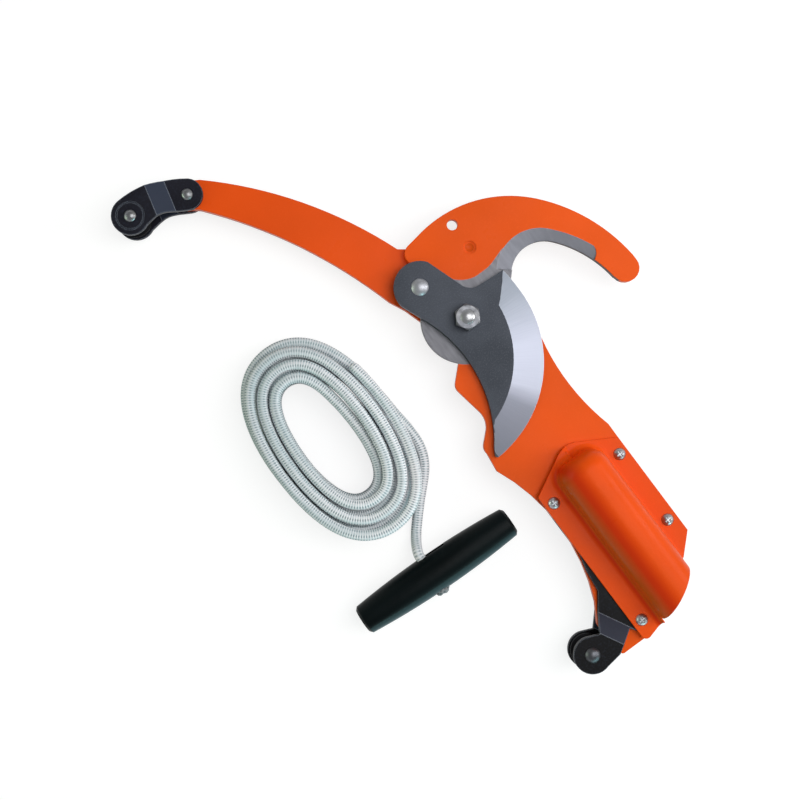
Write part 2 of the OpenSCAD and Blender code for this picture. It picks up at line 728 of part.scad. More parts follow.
module pull_handle() {
    bow = (handle_l * handle_l / 4 + pow(handle_r - handle_end_r, 2)) / (2 * (handle_r - handle_end_r));
    half_a = asin((handle_l / 2 - 1.5) / bow);
    color(moulded) translate([handle_at[0], handle_at[1], handle_z]) rotate(handle_tilt) difference() {
        rotate([0, 90, 0]) rotate_extrude() polygon(concat([[0, -handle_l / 2]],
            [[handle_end_r - 1.5, -handle_l / 2]], arc([handle_r - bow, 0], bow, -half_a, half_a, 16),
            [[handle_end_r - 1.5, handle_l / 2], [0, handle_l / 2]]));
        translate([rope_hole_x, 0, 0]) rotate([90, 0, 0]) translate([0, 0, -20]) cylinder(r = rope_hole_r, h = 40);
        translate([rope_hole_x, -knot_seat + 0.3, 0]) rotate([90, 0, 0]) cylinder(r = knot_r + 0.6, h = 20);
        translate([rope_hole_x - rope_hole_r, handle_r - 4.5, -rope_hole_r]) cube([pocket_l, 10, 2 * rope_hole_r]);
    }
}

main_plate();
socket_cover();
cover_screws();
cover_nuts();
lower_bracket_front();
lower_bracket_rear();
lower_pulley_axle();
lower_pulley();
spring_post();
return_spring();
blade();
lever_arm();
pivot_bolt();
pivot_nut();
spring_bush();
blade_rivet();
rivet_spacer();
arm_bracket_front();
arm_bracket_rear();
arm_bracket_rivet();
arm_pulley_axle();
arm_pulley();
rope_coil();
rope_tail();
rope_knot();
pull_handle();
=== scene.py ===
"""Looks of a rope operated pole pruner head, laid flat and seen from above."""
import json
import math

import bpy
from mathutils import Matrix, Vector


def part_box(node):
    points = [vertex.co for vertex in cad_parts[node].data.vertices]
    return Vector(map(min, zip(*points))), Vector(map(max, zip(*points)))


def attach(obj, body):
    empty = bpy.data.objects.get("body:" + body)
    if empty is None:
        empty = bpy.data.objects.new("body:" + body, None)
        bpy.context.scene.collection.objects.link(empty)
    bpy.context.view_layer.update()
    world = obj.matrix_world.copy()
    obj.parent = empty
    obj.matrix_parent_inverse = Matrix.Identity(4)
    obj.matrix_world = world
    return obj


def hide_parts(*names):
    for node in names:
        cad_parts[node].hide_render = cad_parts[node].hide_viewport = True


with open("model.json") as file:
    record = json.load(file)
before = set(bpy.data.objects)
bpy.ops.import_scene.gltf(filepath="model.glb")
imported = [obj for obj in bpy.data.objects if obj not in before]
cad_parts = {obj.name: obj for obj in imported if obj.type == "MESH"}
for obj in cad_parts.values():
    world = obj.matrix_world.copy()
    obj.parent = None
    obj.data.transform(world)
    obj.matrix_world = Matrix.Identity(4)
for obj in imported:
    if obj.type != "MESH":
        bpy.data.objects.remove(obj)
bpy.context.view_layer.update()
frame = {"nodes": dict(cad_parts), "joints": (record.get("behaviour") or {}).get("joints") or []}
nodes = frame["nodes"]
MM = 0.001
FULL_TURN = 2 * math.pi
IN_PLAN = (1, 1, 0)

# Places from the frame, in metres
joints = {j["name"]: j for j in frame["joints"]}
PIVOT = Vector(joints["lever_swing"]["pos_m"])
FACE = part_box("main_plate")[1][2]
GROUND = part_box("pivot_bolt")[0][2]
POST_AT = (Vector(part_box("spring_post")[0]) + Vector(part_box("spring_post")[1])) / 2

# The photograph's view: straight down on the plate, turned in its own plane
VIEW_TURN = math.radians(-36.87)
VIEW_DISTANCE = 0.560
VIEW_WIDTH = 0.444
VIEW_FOOT = (-0.0845, 0.1747)
VIEW_SHIFT = (45 / 800, 25 / 800)
IMAGE_RIGHT = Vector((math.cos(VIEW_TURN), math.sin(VIEW_TURN), 0))
IMAGE_UP = Vector((-math.sin(VIEW_TURN), math.cos(VIEW_TURN), 0))

# What the lamps point at
MIDDLE = Vector((-0.03, 0.15, FACE))

# The floor, and the light that it and the world show to the camera or give to the object
FLOOR_SIZE = 6
FLOOR_AT = (0, 0.15)
FLOOR_GAP = 0.0004
FLOOR_GLOW = 0.80
FLOOR_GREY = 0.30
WORLD_LIGHT = 0.25
WORLD_OVERHEAD = 0.38

# Bare steel of the plate, in plan from the pivot: a disc, and a strip from it to the throat
BARE_R = 0.0254
STRIP_FROM = (0.005, -0.012)
STRIP_TO = (0.046, 0.019)

# Half the width over which paint gives way to steel
BORDER = 0.0002

# Corner of the paint above the blade: its lower border, a slanted one, and its rounding
PAINT_LOW = 0.0155
PAINT_SIDE = (0.0038, 0.0287, 0)
PAINT_SIDE_FACING = (0.898, 0.44, 0)
PAINT_ROUND = 0.009

# Where the paint's lower border meets the throat's bevel: that bevel's circle, and the rounding
RING_AT = Vector((0.0489, -0.0038, 0))
RING_R = 0.0242
RING_BLEND = 0.006

# Inner edges of the plate's throat and hook, from the pivot, and where their bare wall starts; that wall is
# darkened as painted shade
THROAT_AT = Vector((0.0504, -0.0064, 0))
THROAT_R = 0.0185
HOOK_AT = Vector((0.0129, -0.0379, 0))
HOOK_R = 0.0675
WALL_NEAR = 0.001
WALL_START = (0.030, 0.034)

# The blade's bevel: centre of its edge from the pivot, slope, and the turns about that edge where a painted
# sheen lies and where a painted darker reflection starts
EDGE_AT = Vector((-0.0334, -0.0053, 0))
EDGE_SLOPE = 0.25
SHEEN_TURN = (math.radians(2), math.radians(-25))
DARK_REFLECTION_TURN = (math.radians(-50), math.radians(-60))

# The end of the spring's post is dished
DISH_STEEP = 120.0

# Slopes, by the height of the surface's direction: a mask rises over the first pair, falls over the second
PLATE_BEVEL = ((0.86, 0.88), (0.984, 0.988))
BLADE_BEVEL = ((0.45, 0.55), (0.9945, 0.9965))
STRAP_BEND = ((0.5, 0.6), (0.97, 0.985))
UPRIGHT = (0.4, 0.3)

# How well a rounded direction agrees with the true one, near an edge and near a crease
EDGE = (0.995, 0.80)
CREASE = ((0.93, 0.96), (0.9945, 0.9995))

# The rope: its route is the one of the solids, in millimetres, with a climb of half a loop between layers
ROPE_D = 6.0
ROPE_STEP = 1.6
ROPE_SIDES = 14
COIL_AT = (-100.7, 176)
COIL_HALF_W = 37.0
COIL_HALF_RUN = 24.5
COIL_SQUARE = 0.1
COIL_START = math.radians(20)
COIL_STEP = 6.9
COIL_DRAW = 1.2
COIL_SHIFT = 0.8
COIL_LOOPS = 3
COIL_LAYERS = 4
COIL_POINTS = 72
LAYER_STEP = 6.5
LAYER_HALF_CLIMB = 0.25
TAIL_ROUTE = [(-63.2, 180), (-62.5, 167), (-61.5, 154), (-62.5, 142), (-68, 131), (-82, 117), (-94, 104)]
GROUND_MM = GROUND / MM

# Angles of the rings that round off a tube's far end
END_ANGLES = (0.5, 0.95, 1.3, 1.5)

# The handle, and the rope's way through its hole, in millimetres
HANDLE_AT = (-97, 81.6)
HANDLE_TILT = math.radians(-2.6)
HANDLE_R = 11.0
# Side of the handle that carries a painted highlight
HANDLE_HIGHLIGHT_SIDE = IMAGE_RIGHT * 0.57 - IMAGE_UP * 0.82
ROPE_HOLE_X = -3
KNOT_SEAT = 4
HOLE_ROUTE = (-KNOT_SEAT, 2, HANDLE_R - 3, HANDLE_R + 3)

# The knot behind the seat: one strand that waves three times while it goes round twice
KNOT_BACK = 4.6
KNOT_R = 2.3
KNOT_WAVE = 0.75
KNOT_HALF_DEEP = 2.4
KNOT_TURNS = 2
KNOT_WAVES = 3
KNOT_STRAND_R = 2.1
KNOT_SIDES = 10
KNOT_POINTS = 140

# The braid: length of a pair of ribs in metres, then length and turns of its twist and of its bands
BRAID_PITCH = 0.0028
BRAID_TWIST = (0.3, 3)
BRAID_BANDS = (0.11, 2)


def make_camera():
    data = bpy.data.cameras.new("photo_view")
    data.sensor_width = 36
    data.lens = data.sensor_width * VIEW_DISTANCE / VIEW_WIDTH
    data.shift_x, data.shift_y = VIEW_SHIFT
    data.clip_start = 0.01
    camera = bpy.data.objects.new("photo_view", data)
    camera.location = (*VIEW_FOOT, FACE + VIEW_DISTANCE)
    camera.rotation_euler = (0, 0, VIEW_TURN)
    bpy.context.scene.collection.objects.link(camera)
    bpy.context.scene.camera = camera


# Node trees, in short calls


def put(tree, kind, inputs=None, **settings):
    made = tree.nodes.new(kind)
    for key, value in settings.items():
        setattr(made, key, value)
    for key, value in (inputs or {}).items():
        if isinstance(value, bpy.types.NodeSocket):
            tree.links.new(value, made.inputs[key])
        else:
            made.inputs[key].default_value = value
    return made


def link(tree, shader, **sockets):
    for key, value in sockets.items():
        tree.links.new(value, shader.inputs[key.replace("_", " ")])


def calc(tree, operation, a, b=0.0):
    return put(tree, "ShaderNodeMath", {0: a, 1: b}, operation=operation).outputs[0]


def vector(tree, operation, a, b=(0, 0, 0)):
    made = put(tree, "ShaderNodeVectorMath", {0: a, 1: b}, operation=operation)
    return made.outputs["Value" if operation in ("LENGTH", "DOT_PRODUCT") else "Vector"]


def product(tree, first, *others):
    for value in others:
        first = calc(tree, "MULTIPLY", first, value)
    return first


def largest(tree, first, *others):
    for value in others:
        first = calc(tree, "MAXIMUM", first, value)
    return first


def split(tree, where):
    return put(tree, "ShaderNodeSeparateXYZ", {0: where}).outputs


def spread(tree, value, low, high, start=0.0, end=1.0):
    """Value from low to high, carried over to start to end and held there beyond them."""
    return put(tree, "ShaderNodeMapRange", {0: value, 1: low, 2: high, 3: start, 4: end}).outputs[0]


def band(tree, value, rise, fall):
    """1 between two bounds: it rises over the first pair of values and falls over the second."""
    return calc(tree, "MULTIPLY", spread(tree, value, fall[1], fall[0]), spread(tree, value, *rise))


def above(tree, value, limit):
    return spread(tree, value, limit - BORDER, limit + BORDER)


def below(tree, value, limit):
    return spread(tree, value, limit + BORDER, limit - BORDER)


def short_of(tree, value, limit):
    """How far the value falls short of the limit, or 0."""
    return calc(tree, "MAXIMUM", calc(tree, "SUBTRACT", limit, value), 0.0)


def outside_corner(tree, a, b, radius):
    """Outside of a rounded corner, for a point that is short of its two roundings by a and b."""
    squares = calc(tree, "ADD", calc(tree, "POWER", a, 2), calc(tree, "POWER", b, 2))
    return above(tree, calc(tree, "SQRT", squares), radius)


def plan_reach(tree, where, middle):
    """Distance from a middle, in plan."""
    off = vector(tree, "SUBTRACT", where, middle)
    return vector(tree, "LENGTH", vector(tree, "MULTIPLY", off, IN_PLAN))


def near_ring(tree, where, middle, radius):
    """Whether a point is close to a circle, in plan."""
    gap = calc(tree, "ABSOLUTE", calc(tree, "SUBTRACT", plan_reach(tree, where, middle), radius))
    return below(tree, gap, WALL_NEAR)


def tint(tree, amount, a, b):
    return put(tree, "ShaderNodeMix", {0: amount, 6: a, 7: b}, data_type="RGBA").outputs[2]


def level(tree, amount, a, b):
    return put(tree, "ShaderNodeMix", {0: amount, 2: a, 3: b}, data_type="FLOAT").outputs[0]


def wash(tree, shade, colour, mask, low, high, amount=1.0):
    """The shade with a colour laid over it while the mask goes from low to high, up to the amount."""
    return tint(tree, spread(tree, mask, low, high, 0.0, amount), shade, colour)


def noise(tree, where, scale, detail):
    return put(tree, "ShaderNodeTexNoise", {"Vector": where, "Scale": scale, "Detail": detail}).outputs[0]


def stretched(tree, where, scales, detail):
    """Noise with a scale of its own in each direction."""
    return noise(tree, vector(tree, "MULTIPLY", where, scales), 1.0, detail)


def bumped(tree, height, depth, normal=None, strength=1.0):
    inputs = {"Height": height, "Distance": depth, "Strength": strength}
    if normal is not None:
        inputs["Normal"] = normal
    return put(tree, "ShaderNodeBump", inputs).outputs[0]


def started(name, **sockets):
    """A new material with its tree, its shader and its coordinates."""
    made = bpy.data.materials.new(name)
    made.use_nodes = True
    tree = made.node_tree
    shader = tree.nodes["Principled BSDF"]
    for key, value in sockets.items():
        shader.inputs[key.replace("_", " ")].default_value = value
    return made, tree, shader, put(tree, "ShaderNodeTexCoord").outputs


def softened(tree, radius):
    """Direction of the surface with its edges rounded off, and how well it agrees with the true one."""
    soft = put(tree, "ShaderNodeBevel", {"Radius": radius}, samples=6).outputs[0]
    true = put(tree, "ShaderNodeNewGeometry").outputs["True Normal"]
    return soft, vector(tree, "DOT_PRODUCT", soft, true)


# Colour laid along edges: wear on paint, a painted highlight on the blade's bright bevel
def worn_and_highlit_edges(tree, shade, colour, agrees, amount):
    return wash(tree, shade, colour, agrees, *EDGE, amount)


# Painted highlight: a pale line along shallow creases
def painted_crease_highlights(tree, shade, colour, agrees, amount):
    return tint(tree, calc(tree, "MULTIPLY", band(tree, agrees, *CREASE), amount), shade, colour)


# Colours


def linear(r, g, b):
    """Colour of a photograph's pixel, as a shader takes it."""
    def one(c):
        c = c / 255
        return c / 12.92 if c <= 0.04045 else ((c + 0.055) / 1.055) ** 2.4
    return (one(r), one(g), one(b), 1)


def times(colour, factor):
    return tuple(min(1, factor * c) for c in colour[:3]) + (1,)


COVER_SHOULDER_PAINTED_SHADE = linear(214, 46, 14)
COVER_WALL_PAINTED_LIGHT = linear(206, 104, 34)
STEEL = linear(112, 112, 117)
STEEL_BEVEL = linear(112, 113, 120)
STEEL_CREASE_HIGHLIGHT = linear(176, 178, 185)
STEEL_WALL_PAINTED_SHADE = linear(62, 54, 52)
BRIGHT = linear(140, 146, 156)
BEVEL_PAINTED_SHEEN = linear(162, 165, 178)
BEVEL_PAINTED_DARK_REFLECTION = linear(60, 64, 72)
BEVEL_PAINTED_EDGE_HIGHLIGHT = linear(226, 228, 230)
COAT_DARK = linear(58, 62, 70)
COAT = linear(76, 80, 89)
COAT_SPECK = linear(104, 108, 116)
COAT_EDGE = linear(150, 153, 160)
STRAP_CREASE_HIGHLIGHT = linear(150, 158, 170)
HANDLE_PAINTED_HIGHLIGHT = linear(72, 104, 110)
ROPE_WHITE = linear(252, 253, 255)
ROPE_RIB = linear(220, 229, 234)
ROPE_TICK = linear(112, 132, 140)
ROPE_BAND = linear(160, 188, 192)
ROPE_FLECK = linear(138, 163, 172)
ROPE_WARM = linear(238, 228, 231)
ROPE_PAINTED_SHADE = linear(132, 156, 160)


# Materials


def brushed(tree, where, streak, colour, contrast):
    """Colour and roughness of ground steel with these streaks."""
    cloud = noise(tree, where, scale=40, detail=2)
    shade = wash(tree, times(colour, 1 - contrast), colour, streak, 0.3, 0.7)
    shade = wash(tree, shade, times(colour, 1.15), cloud, 0.35, 0.7, 0.4)
    return shade, spread(tree, streak, 0.3, 0.7, 0.52, 0.42)


def plate_bare(tree, where, facing):
    """Where the plate is bare: round the pivot and up to the throat, on its bevels and its inner wall, which
    is also darkened as painted shade.
    """
    off = vector(tree, "SUBTRACT", where, PIVOT)
    x, y = split(tree, off)[:2]
    disc = below(tree, plan_reach(tree, where, PIVOT), BARE_R)
    strip = product(tree, above(tree, x, STRIP_FROM[0]), below(tree, x, STRIP_TO[0]),
                    above(tree, y, STRIP_FROM[1]), below(tree, y, STRIP_TO[1]))
    side = vector(tree, "DOT_PRODUCT", vector(tree, "SUBTRACT", off, PAINT_SIDE), PAINT_SIDE_FACING)
    at_blade = outside_corner(tree, short_of(tree, y, PAINT_LOW + PAINT_ROUND),
                              short_of(tree, side, PAINT_ROUND), PAINT_ROUND)
    ring = plan_reach(tree, off, RING_AT)
    at_throat = outside_corner(tree, short_of(tree, y, PAINT_LOW + RING_BLEND),
                               short_of(tree, ring, RING_R + RING_BLEND), RING_BLEND)
    ground = product(tree, largest(tree, disc, strip), largest(tree, at_blade, at_throat))
    height = split(tree, facing)[2]
    bevel = band(tree, height, *PLATE_BEVEL)
    inner = largest(tree, near_ring(tree, off, THROAT_AT, THROAT_R), near_ring(tree, off, HOOK_AT, HOOK_R))
    upright = spread(tree, calc(tree, "ABSOLUTE", height), *UPRIGHT)
    wall = product(tree, upright, inner, spread(tree, x, *WALL_START))
    return largest(tree, ground, bevel, wall), bevel, wall


def orange_paint(name, colour, bare=None, sides=None, dish=None, worn=0.5):
    """Paint with clouds, specks and worn edges; with bare steel, painted shade and painted light on
    left-facing sides, or a dish, where given.
    """
    made, tree, shader, coords = started(name, Specular_IOR_Level=0.08)
    where = coords["Object"]
    facing = coords["Normal"]
    soft, agrees = softened(tree, radius=0.0006)
    pale = (min(1, 1.1 * colour[0]), 1.35 * colour[1], 1.4 * colour[2] + 0.01, 1)
    shade = wash(tree, times(colour, 0.88), colour, noise(tree, where, scale=16, detail=3), 0.35, 0.65)
    shade = wash(tree, shade, pale, noise(tree, where, scale=900, detail=1), 0.55, 0.8, 0.2)
    # Painted shade: a darker, redder shoulder where the surface turns left; painted light: a browner wall
    # where it faces left
    if sides is not None:
        left = split(tree, facing)[0]
        shade = wash(tree, shade, sides[0], left, -0.05, -0.50, 0.75)
        shade = wash(tree, shade, sides[1], left, -0.62, -0.92, 0.62)
    shade = worn_and_highlit_edges(tree, shade, pale, agrees, worn)
    if dish is not None:
        bowl = calc(tree, "POWER", plan_reach(tree, where, dish), 2)
        soft = bumped(tree, calc(tree, "MULTIPLY", bowl, DISH_STEEP), depth=1.0, normal=soft)
    peel = noise(tree, where, scale=520, detail=3)
    rough = spread(tree, noise(tree, where, scale=60, detail=3), 0.3, 0.7, 0.26, 0.38)
    if bare is not None:
        mask, bevel, wall = bare(tree, where, facing)
        streak = stretched(tree, where, scales=(700, 110, 110), detail=3)
        steel, steel_rough = brushed(tree, where, streak, STEEL, contrast=0.16)
        steel = tint(tree, bevel, steel, STEEL_BEVEL)
        # Painted highlight along the bare steel's creases
        steel = painted_crease_highlights(tree, steel, STEEL_CREASE_HIGHLIGHT, agrees, 0.2)
        # Painted shade: the bare inner wall made dark
        steel = tint(tree, wall, steel, STEEL_WALL_PAINTED_SHADE)
        shade = tint(tree, mask, shade, steel)
        rough = level(tree, mask, rough, steel_rough)
        peel = level(tree, mask, peel, streak)
        link(tree, shader, Metallic=calc(tree, "MULTIPLY", mask, 0.85))
    link(tree, shader, Base_Color=shade, Roughness=rough,
         Normal=bumped(tree, peel, depth=0.0001, normal=soft, strength=0.4))
    return made


def blade_steel(name):
    """Dark coated body, with a bright bevel ground square to the edge."""
    made, tree, shader, coords = started(name, Specular_IOR_Level=0.15)
    where = coords["Object"]
    soft, agrees = softened(tree, radius=0.0004)
    bevel = band(tree, split(tree, coords["Normal"])[2], *BLADE_BEVEL)
    off = vector(tree, "SUBTRACT", where, PIVOT + EDGE_AT)
    x, y = split(tree, off)[:2]
    turn = calc(tree, "ARCTAN2", y, x)
    polar = put(tree, "ShaderNodeCombineXYZ", {0: turn, 1: vector(tree, "LENGTH", off)}).outputs[0]
    streak = stretched(tree, polar, scales=(90, 30, 1), detail=3)
    bright, bright_rough = brushed(tree, where, streak, BRIGHT, contrast=0.05)
    # Painted reflection: a paler sheen over one range of turns, darker beyond another
    bright = wash(tree, bright, BEVEL_PAINTED_SHEEN, turn, *SHEEN_TURN)
    bright = wash(tree, bright, BEVEL_PAINTED_DARK_REFLECTION, turn, *DARK_REFLECTION_TURN, 0.50)
    # Painted highlight along the bevel's edges
    bright = worn_and_highlit_edges(tree, bright, BEVEL_PAINTED_EDGE_HIGHLIGHT, agrees, 0.6)
    outward = vector(tree, "NORMALIZE", vector(tree, "MULTIPLY", off, IN_PLAN))
    sloped = vector(tree, "MULTIPLY", outward, (EDGE_SLOPE, EDGE_SLOPE, 0))
    sloped = vector(tree, "ADD", sloped, (0, 0, 1))
    sloped = put(tree, "ShaderNodeVectorTransform", {0: sloped}, vector_type="NORMAL",
                 convert_from="OBJECT", convert_to="WORLD").outputs[0]
    sloped = vector(tree, "NORMALIZE", sloped)
    normal = put(tree, "ShaderNodeMix", {0: bevel, 4: soft, 5: sloped}, data_type="VECTOR").outputs[1]
    grain = noise(tree, where, scale=1300, detail=2)
    body = wash(tree, COAT_DARK, COAT, noise(tree, where, scale=35, detail=3), 0.3, 0.7)
    body = wash(tree, body, COAT_SPECK, grain, 0.5, 0.75, 0.3)
    body = worn_and_highlit_edges(tree, body, COAT_EDGE, agrees, 0.5)
    link(tree, shader, Base_Color=tint(tree, bevel, body, bright), Metallic=level(tree, bevel, 0.2, 0.95),
         Roughness=level(tree, bevel, 0.46, bright_rough),
         Normal=bumped(tree, level(tree, bevel, grain, 0.5), depth=0.00006, normal=normal, strength=0.35))
    return made


def dark_paint(name, colour, pale):
    """Dark satin paint, paler where the strap is bent, which is painted light, and along its edges."""
    made, tree, shader, coords = started(name, Specular_IOR_Level=0.12)
    where = coords["Object"]
    soft, agrees = softened(tree, radius=0.0006)
    lit_bend = band(tree, split(tree, coords["Normal"])[2], *STRAP_BEND)
    speck = noise(tree, where, scale=850, detail=2)
    cloud = noise(tree, where, scale=60, detail=3)
    shade = wash(tree, times(colour, 0.7), colour, cloud, 0.3, 0.7)
    shade = wash(tree, shade, pale, speck, 0.5, 0.8, 0.3)
    # Painted light on the bent strip, paler edges besides
    worn = largest(tree, calc(tree, "MULTIPLY", lit_bend, 0.85), spread(tree, agrees, *EDGE, 0.0, 0.5))
    shade = tint(tree, worn, shade, pale)
    # Painted highlights along the strap's creases
    shade = painted_crease_highlights(tree, shade, STRAP_CREASE_HIGHLIGHT, agrees, 0.55)
    link(tree, shader, Base_Color=shade, Roughness=spread(tree, cloud, 0.3, 0.7, 0.34, 0.48),
         Normal=bumped(tree, speck, depth=0.0001, normal=soft, strength=0.45))
    return made


def plated(name, colour, rough=0.32):
    """Zinc plate: fine spangle, warmer clouds and bright edges."""
    made, tree, shader, coords = started(name, Metallic=1.0)
    where = coords["Object"]
    soft, agrees = softened(tree, radius=0.0003)
    spangle = noise(tree, where, scale=380, detail=3)
    warm = (colour[0] * 1.02, colour[1] * 0.97, colour[2] * 0.86, 1)
    shade = wash(tree, colour, warm, noise(tree, where, scale=110, detail=2), 0.4, 0.7, 0.6)
    shade = wash(tree, shade, times(colour, 0.55), spangle, 0.35, 0.7, 0.45)
    shade = worn_and_highlit_edges(tree, shade, times(colour, 1.9), agrees, 0.45)
    link(tree, shader, Base_Color=shade,
         Normal=bumped(tree, spangle, depth=0.00006, normal=soft, strength=0.5),
         Roughness=spread(tree, spangle, 0.3, 0.7, rough - 0.08, rough + 0.12))
    return made


def moulded(name, colour, pale, rough, gloss=0.07, painted_highlight=None):
    """Moulded plastic: fine grain, flow clouds and paler edges, and a painted highlight on the faces turned
    to a given side, where one is given.
    """
    made, tree, shader, coords = started(name, Specular_IOR_Level=gloss)
    where = coords["Object"]
    soft, agrees = softened(tree, radius=0.0008)
    grain = noise(tree, where, scale=1500, detail=2)
    flow = stretched(tree, where, scales=(25, 90, 90), detail=3)
    shade = wash(tree, colour, pale, flow, 0.3, 0.7)
    shade = wash(tree, shade, times(pale, 1.6), grain, 0.55, 0.8, 0.3)
    shade = worn_and_highlit_edges(tree, shade, times(pale, 2.0), agrees, 0.4)
    # Painted highlight: a pale teal over the faces turned to the given side
    if painted_highlight is not None:
        side = vector(tree, "DOT_PRODUCT", coords["Normal"], painted_highlight[0])
        shade = wash(tree, shade, painted_highlight[1], side, 0.5, 0.95, 0.75)
    link(tree, shader, Base_Color=shade,
         Normal=bumped(tree, grain, depth=0.00006, normal=soft, strength=0.4),
         Roughness=spread(tree, flow, 0.3, 0.7, rough - 0.05, rough + 0.08))
    return made


def rope_braid(name, pale=1.0):
    """White braid: ribs, grey ticks where two slanted families cross, teal bands, flecks, and painted shade
    greying its left side.
    """
    made, tree, shader, coords = started(name, Specular_IOR_Level=0.2, Roughness=0.62, Sheen_Weight=0.2)
    where = coords["Object"]
    mapped = put(tree, "ShaderNodeUVMap", uv_map="rope").outputs[0]
    run, way = split(tree, mapped)[:2]

    def winding(pitch, turns):
        """Angle that grows along the rope, by a turn in each pitch, and round it, by so many turns."""
        return calc(tree, "ADD", calc(tree, "MULTIPLY", run, FULL_TURN / pitch),
                    calc(tree, "MULTIPLY", way, FULL_TURN * turns))

    length = calc(tree, "MULTIPLY", run, FULL_TURN / BRAID_PITCH)
    round_it = winding(*BRAID_TWIST)
    right = calc(tree, "SINE", calc(tree, "ADD", length, round_it))
    left = calc(tree, "SINE", calc(tree, "SUBTRACT", length, round_it))
    yarn = calc(tree, "MULTIPLY", right, left)
    wound = calc(tree, "SINE", winding(*BRAID_BANDS))
    fleck = stretched(tree, mapped, scales=(260, 9, 1), detail=2)
    rib = calc(tree, "COSINE", calc(tree, "MULTIPLY", length, 2))
    shade_across = vector(tree, "DOT_PRODUCT", where, IMAGE_RIGHT)
    shade = times(ROPE_WHITE, pale)
    for colour, mask, low, high, amount in (
            (ROPE_RIB, rib, -0.6, 0.8, 1.0),
            (ROPE_TICK, yarn, -0.2, -0.75, 0.8),
            (ROPE_BAND, wound, -0.2, 0.9, 0.28),
            (ROPE_FLECK, fleck, 0.52, 0.68, 0.22),
            (ROPE_WARM, noise(tree, where, scale=26, detail=2), 0.5, 0.7, 0.35),
            # painted shade: greyer towards the left
            (ROPE_PAINTED_SHADE, shade_across, -0.165, -0.225, 0.30)):
        shade = wash(tree, shade, times(colour, pale), mask, low, high, amount)
    link(tree, shader, Base_Color=shade, Normal=bumped(tree, yarn, depth=0.0002, strength=0.6))
    return made


# Rope


def loop_point(t, deep):
    """Point of the coil's plan: loops further in are narrower and drawn away from the handle."""
    a = COIL_START + FULL_TURN * t
    b = COIL_HALF_W - COIL_STEP * deep
    run = COIL_HALF_RUN - COIL_DRAW * deep
    bulge = (1 + COIL_SQUARE) * math.sin(a) + COIL_SQUARE * math.sin(3 * a)
    return (COIL_AT[0] + b * math.cos(a),
            COIL_AT[1] + (b * math.sin(a) + run * bulge + COIL_SHIFT * deep))


def coil_point(t):
    """Point of the coil after t loops: it spirals in, climbs a layer, and spirals out again."""
    layer = math.floor(t / COIL_LOOPS)
    into = t - layer * COIL_LOOPS
    deep = into if layer % 2 == 0 else COIL_LOOPS - into
    near = round(t / COIL_LOOPS)
    if 0 < near < COIL_LAYERS:
        turn = max(-1, min(1, (t - near * COIL_LOOPS) / LAYER_HALF_CLIMB))
        lift = near - 0.5 + 0.5 * math.sin(math.pi / 2 * turn)
    else:
        lift = min(layer, COIL_LAYERS - 1)
    return Vector((*loop_point(t, deep), GROUND_MM + ROPE_D / 2 + LAYER_STEP * lift))


def in_handle(x, y):
    """Point of the handle's middle plane, from its own coordinates."""
    return Vector((HANDLE_AT[0] + x * math.cos(HANDLE_TILT) - y * math.sin(HANDLE_TILT),
                   HANDLE_AT[1] + x * math.sin(HANDLE_TILT) + y * math.cos(HANDLE_TILT),
                   GROUND_MM + HANDLE_R))


def smooth(points, steps=8):
    """Points on one curve through the given ones."""
    out = []
    for i in range(len(points) - 1):
        a = points[max(i - 1, 0)]
        b = points[i]
        c = points[i + 1]
        d = points[min(i + 2, len(points) - 1)]
        square = 2 * a - 5 * b + 4 * c - d
        cube = 3 * b - a - 3 * c + d
        for k in range(steps):
            t = k / steps
            out.append(0.5 * (2 * b + (c - a) * t + square * t * t + cube * t ** 3))
    return out + [points[-1]]


def evenly(points, step):
    """The same line in equal steps."""
    out = [points[0]]
    left = step
    for a, b in zip(points, points[1:]):
        gap = (b - a).length
        while gap >= left:
            a = a + (b - a) * (left / gap)
            gap -= left
            left = step
            out.append(a)
        left -= gap
    return out


def rope_line():
    """Centre line from the knot in the handle, along the tail and through the coil, in millimetres."""
    lying = GROUND_MM + ROPE_D / 2
    tail = [in_handle(ROPE_HOLE_X, y) for y in HOLE_ROUTE]
    tail += [Vector((x, y, lying)) for x, y in reversed(TAIL_ROUTE)]
    coil = [coil_point(i / COIL_POINTS) for i in range(COIL_POINTS * COIL_LOOPS * COIL_LAYERS + 1)]
    line = smooth(tail + coil[:1])[:-1] + coil
    for p in line:
        p.z = max(p.z, lying)
    return evenly(line, ROPE_STEP)


